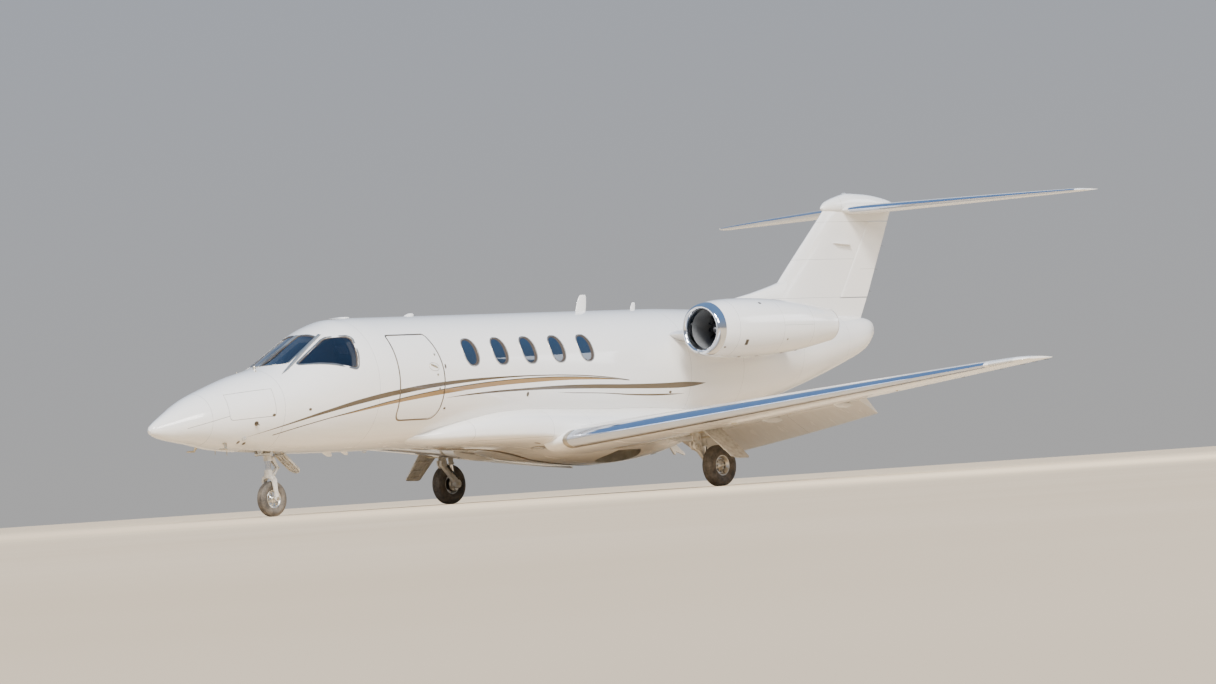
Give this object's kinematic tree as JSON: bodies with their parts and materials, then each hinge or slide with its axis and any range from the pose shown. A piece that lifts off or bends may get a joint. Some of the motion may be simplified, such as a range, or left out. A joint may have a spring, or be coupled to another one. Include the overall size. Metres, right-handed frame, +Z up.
{
  "type": "light twin-engined business jet",
  "caption": "Low-wing business jet with two rear engines, a T-tail and nose-wheel gear, with hinged doors, flaps, ailerons, elevators, rudder, fans and rolling wheels.",
  "frame": {"origin": "on the ground, under the middle of the jet's length and span", "axes": "+X towards the nose, +Y to port, +Z up"},
  "size_m": [14.53, 15.19, 3.8715],
  "materials": {
    "white_paint": "gloss",
    "composite_paint": "gloss",
    "glass": "gloss",
    "tyre": "matte",
    "wheel_metal": "satin",
    "polished_lip": "polished",
    "fan_metal": "satin",
    "engine_metal": "satin",
    "seat_leather": "satin",
    "panel_plastic": "matte",
    "floor_carpet": "matte",
    "gear_paint": "satin"
  },
  "bodies": {
    "airframe": {"radome": "composite_paint", "nose_bay": "white_paint", "cabin_shell": "white_paint", "tail_cone": "white_paint", "windshield_left": "glass", "windshield_right": "glass", "side_window_left": "glass", "side_window_right": "glass", "cabin_windows_left": "glass", "cabin_windows_right": "glass", "cabin_floor": "floor_carpet", "instrument_panel": "panel_plastic", "pilot_seat_left": "seat_leather", "pilot_seat_right": "seat_leather", "cabin_seats_left": "seat_leather", "cabin_seats_right": "seat_leather", "wing_fairing": "white_paint", "wing_left": "white_paint", "wing_right": "white_paint", "main_leg_left": "gear_paint", "main_leg_right": "gear_paint", "main_arm_left": "gear_paint", "main_arm_right": "gear_paint", "main_gear_door_left": "white_paint", "main_gear_door_right": "white_paint", "nose_strut": "gear_paint", "nose_gear_door": "white_paint", "nacelle_left": "composite_paint", "nacelle_right": "composite_paint", "inlet_lip_left": "polished_lip", "inlet_lip_right": "polished_lip", "engine_left": "engine_metal", "engine_right": "engine_metal", "pylon_left": "white_paint", "pylon_right": "white_paint", "fin": "white_paint", "tailplane": "white_paint"},
    "entry_door": {"entry_door": "white_paint"},
    "baggage_door_left": {"baggage_door_left": "white_paint"},
    "baggage_door_right": {"baggage_door_right": "white_paint"},
    "flap_left": {"flap_left": "white_paint"},
    "flap_right": {"flap_right": "white_paint"},
    "aileron_left": {"aileron_left": "white_paint"},
    "aileron_right": {"aileron_right": "white_paint"},
    "rudder": {"rudder": "white_paint"},
    "elevator_left": {"elevator_left": "white_paint"},
    "elevator_right": {"elevator_right": "white_paint"},
    "nose_steer": {"nose_fork": "gear_paint"},
    "nose_wheel": {"nose_wheel_rim": "wheel_metal", "nose_wheel_tyre": "tyre"},
    "main_wheel_left": {"main_wheel_left_rim": "wheel_metal", "main_wheel_left_tyre": "tyre"},
    "main_wheel_right": {"main_wheel_right_rim": "wheel_metal", "main_wheel_right_tyre": "tyre"},
    "fan_left": {"fan_left": "fan_metal"},
    "fan_right": {"fan_right": "fan_metal"}
  },
  "joints": [
    {"name": "entry_door_hinge", "type": "hinge", "parent": "airframe", "child": "entry_door", "pos_m": [3.815, 0.826, 1.555], "axis": [0, 0, -1], "range_deg": [0, 105]},
    {"name": "baggage_door_left_hinge", "type": "hinge", "parent": "airframe", "child": "baggage_door_left", "pos_m": [6.305, 0.30609, 1.491], "axis": [0.9488, -0.3078, -0.0712], "range_deg": [0, 80]},
    {"name": "baggage_door_right_hinge", "type": "hinge", "parent": "airframe", "child": "baggage_door_right", "pos_m": [6.305, -0.30609, 1.491], "axis": [-0.9488, -0.3078, 0.0712], "range_deg": [0, 80]},
    {"name": "flap_left_hinge", "type": "hinge", "parent": "airframe", "child": "flap_left", "pos_m": [-0.7815, 1.15, 0.64977], "axis": [0.0474, 0.9944, 0.0945], "range_deg": [0, 35]},
    {"name": "flap_right_hinge", "type": "hinge", "parent": "airframe", "child": "flap_right", "pos_m": [-0.7815, -1.15, 0.64977], "axis": [-0.0474, 0.9944, -0.0945], "range_deg": [0, 35]},
    {"name": "aileron_left_hinge", "type": "hinge", "parent": "airframe", "child": "aileron_left", "pos_m": [-0.59586, 4.48, 1.01789], "axis": [0.1003, 0.9914, 0.084], "range_deg": [-20, 20]},
    {"name": "aileron_right_hinge", "type": "hinge", "parent": "airframe", "child": "aileron_right", "pos_m": [-0.59586, -4.48, 1.01789], "axis": [-0.1003, 0.9914, -0.084], "range_deg": [-20, 20]},
    {"name": "rudder_hinge", "type": "hinge", "parent": "airframe", "child": "rudder", "pos_m": [-5.5768, 0, 2.455], "axis": [-0.5658, 0, 0.8245], "range_deg": [-22, 22]},
    {"name": "elevator_left_hinge", "type": "hinge", "parent": "airframe", "child": "elevator_left", "pos_m": [-6.51581, 0.26, 3.645], "axis": [-0.2026, 0.9793, 0], "range_deg": [-15, 20]},
    {"name": "elevator_right_hinge", "type": "hinge", "parent": "airframe", "child": "elevator_right", "pos_m": [-6.51581, -0.26, 3.645], "axis": [0.2026, 0.9793, 0], "range_deg": [-15, 20]},
    {"name": "nose_steering", "type": "hinge", "parent": "airframe", "child": "nose_steer", "pos_m": [5.365, 0, 0.555], "axis": [0, 0, 1], "range_deg": [-95, 95]},
    {"name": "nose_wheel_axle", "type": "hinge", "parent": "nose_steer", "child": "nose_wheel", "pos_m": [5.335, 0, 0.215], "axis": [0, 1, 0], "continuous": true},
    {"name": "main_wheel_left_axle", "type": "hinge", "parent": "airframe", "child": "main_wheel_left", "pos_m": [-0.175, 2.38, 0.26], "axis": [0, 1, 0], "continuous": true},
    {"name": "main_wheel_right_axle", "type": "hinge", "parent": "airframe", "child": "main_wheel_right", "pos_m": [-0.175, -2.38, 0.26], "axis": [0, 1, 0], "continuous": true},
    {"name": "fan_left_shaft", "type": "hinge", "parent": "airframe", "child": "fan_left", "pos_m": [-1.535, 1.39, 2.025], "axis": [1, 0, 0], "continuous": true},
    {"name": "fan_right_shaft", "type": "hinge", "parent": "airframe", "child": "fan_right", "pos_m": [-1.535, -1.39, 2.025], "axis": [1, 0, 0], "continuous": true}
  ],
  "couplings": [
    {"joint": "flap_right_hinge", "follows": "flap_left_hinge", "ratio": 1},
    {"joint": "aileron_right_hinge", "follows": "aileron_left_hinge", "ratio": -1},
    {"joint": "elevator_right_hinge", "follows": "elevator_left_hinge", "ratio": 1}
  ]
}
